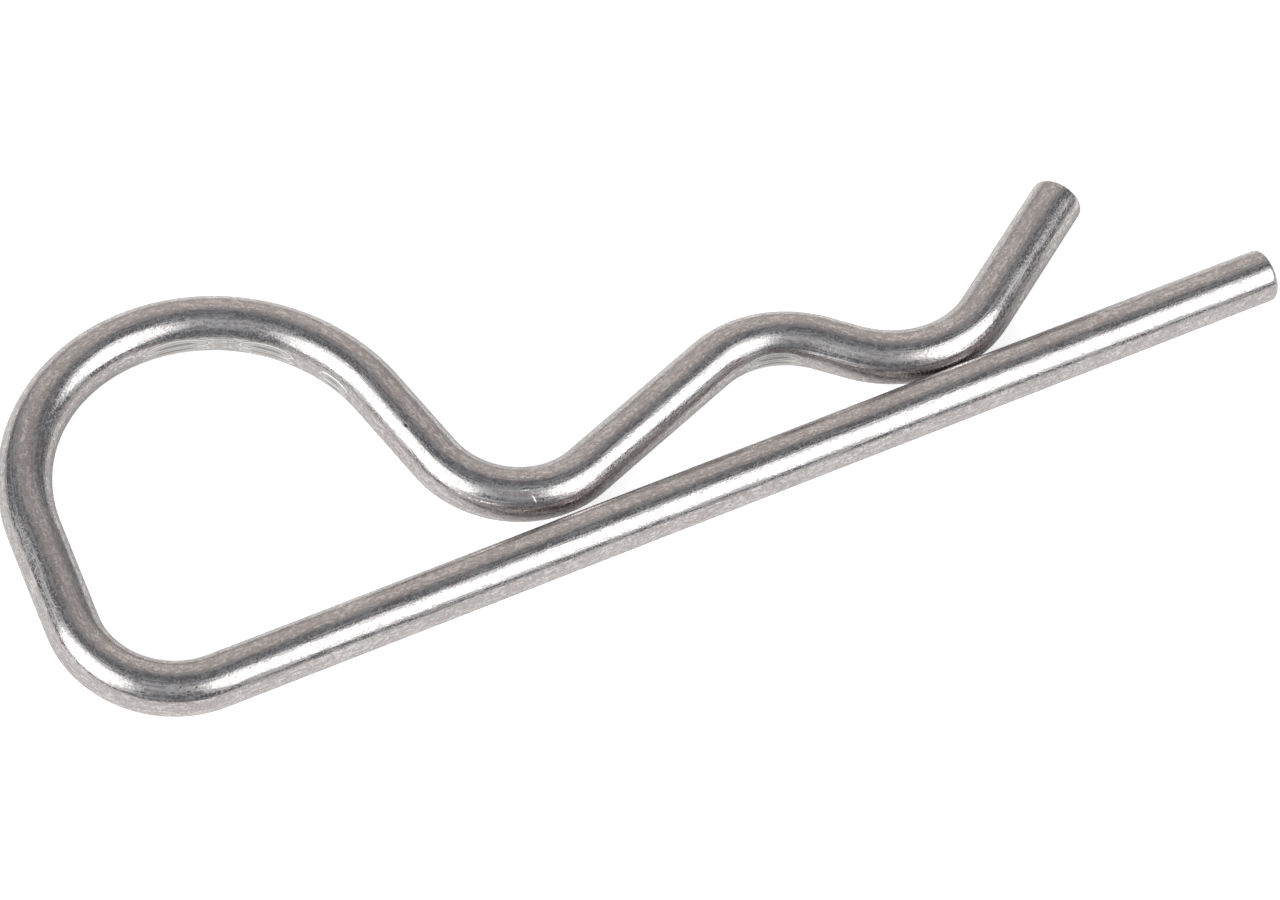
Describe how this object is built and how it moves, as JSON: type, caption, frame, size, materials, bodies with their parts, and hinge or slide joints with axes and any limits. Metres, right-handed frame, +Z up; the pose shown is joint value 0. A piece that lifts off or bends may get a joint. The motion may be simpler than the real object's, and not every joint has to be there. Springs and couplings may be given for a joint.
{
  "type": "hitch r clip pin",
  "caption": "Round spring wire bent flat into an R: a straight leg for a cross hole, a pull loop, and a humped arm that snaps over a hitch pin's shaft.",
  "frame": {"origin": "middle of the clip's outline in plan, on the surface that it lies on", "axes": "+X along the straight leg towards its tip, +Y across the clip from the leg to the bent arm, +Z up from the surface it lies on"},
  "size_m": [0.0969, 0.0332, 0.004],
  "materials": {
    "spring_wire": "drawn and tumbled stainless spring wire, satin, with fine lines along the wire"
  },
  "bodies": {
    "root": {"r_clip": "spring_wire"}
  },
  "joints": []
}
